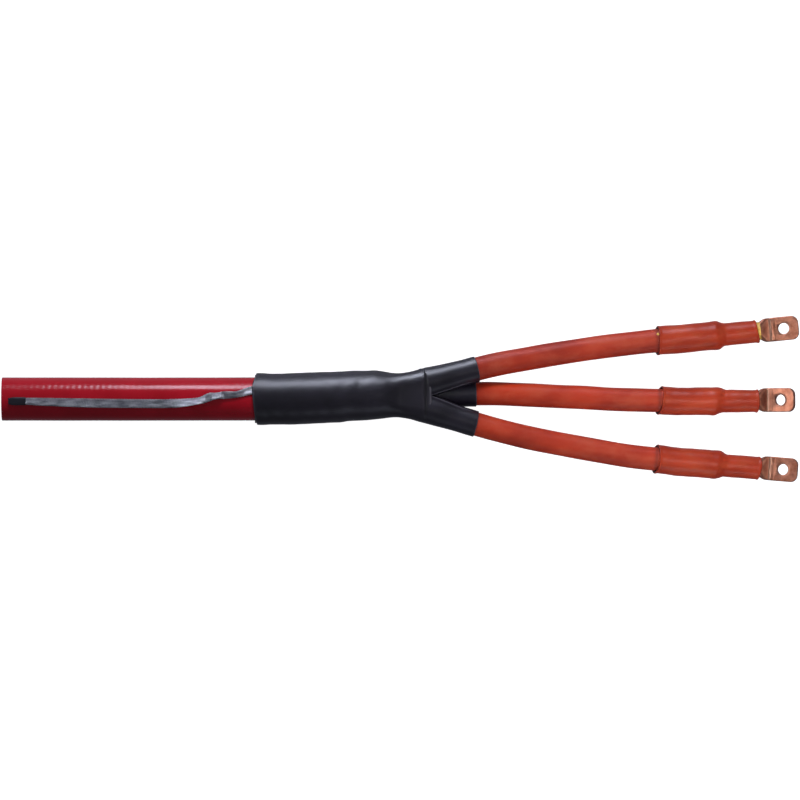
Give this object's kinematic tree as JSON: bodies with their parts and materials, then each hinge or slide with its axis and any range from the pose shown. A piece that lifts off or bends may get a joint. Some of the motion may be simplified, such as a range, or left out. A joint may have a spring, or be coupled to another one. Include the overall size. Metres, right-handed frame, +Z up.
{
  "type": "cable termination",
  "caption": "Indoor termination of a screened power cable: sealed breakout boot, tubed cores fanning out to copper lugs, flat earth braid laid back along the sheath.",
  "frame": {"origin": "middle of the part on the surface it lies on", "axes": "+X from the cut cable to the lugs, +Z up from the surface, +Y to the left core"},
  "size_m": [0.7981, 0.1667, 0.0521],
  "materials": {
    "sheath_red": "smooth extruded PVC",
    "filler_yarn": "fibrous",
    "tinned_braid": "woven tinned copper",
    "shrink_black": "satin",
    "spring_steel": "rolled strip",
    "mastic_black": "tacky",
    "mastic_yellow": "tacky",
    "boot_black": "satin, shrunk",
    "copper_wire": "drawn copper",
    "screen_black": "matt",
    "insulation_white": "translucent white",
    "copper_tape": "lapped copper tape",
    "tube_red": "satin, shrunk",
    "lug_copper": "pickled copper",
    "sleeve_brick": "satin, shrunk"
  },
  "bodies": {
    "root": {"outer_sheath": "sheath_red", "core_filler": "filler_yarn", "earth_braid": "tinned_braid", "braid_end_sleeve": "shrink_black", "braid_root": "tinned_braid", "roll_spring": "spring_steel", "sheath_mastic": "mastic_black", "crotch_mastic": "mastic_yellow", "breakout_boot": "boot_black", "left_conductor": "copper_wire", "left_conductor_screen": "screen_black", "left_insulation": "insulation_white", "left_insulation_screen": "screen_black", "left_copper_tape": "copper_tape", "left_stress_mastic": "mastic_yellow", "left_stress_tube": "shrink_black", "left_outer_tube": "tube_red", "left_lug": "lug_copper", "left_lug_mastic": "mastic_yellow", "left_lug_sleeve": "sleeve_brick", "middle_conductor": "copper_wire", "middle_conductor_screen": "screen_black", "middle_insulation": "insulation_white", "middle_insulation_screen": "screen_black", "middle_copper_tape": "copper_tape", "middle_stress_mastic": "mastic_yellow", "middle_stress_tube": "shrink_black", "middle_outer_tube": "tube_red", "middle_lug": "lug_copper", "middle_lug_mastic": "mastic_yellow", "middle_lug_sleeve": "sleeve_brick", "right_conductor": "copper_wire", "right_conductor_screen": "screen_black", "right_insulation": "insulation_white", "right_insulation_screen": "screen_black", "right_copper_tape": "copper_tape", "right_stress_mastic": "mastic_yellow", "right_stress_tube": "shrink_black", "right_outer_tube": "tube_red", "right_lug": "lug_copper", "right_lug_mastic": "mastic_yellow", "right_lug_sleeve": "sleeve_brick"}
  },
  "joints": []
}
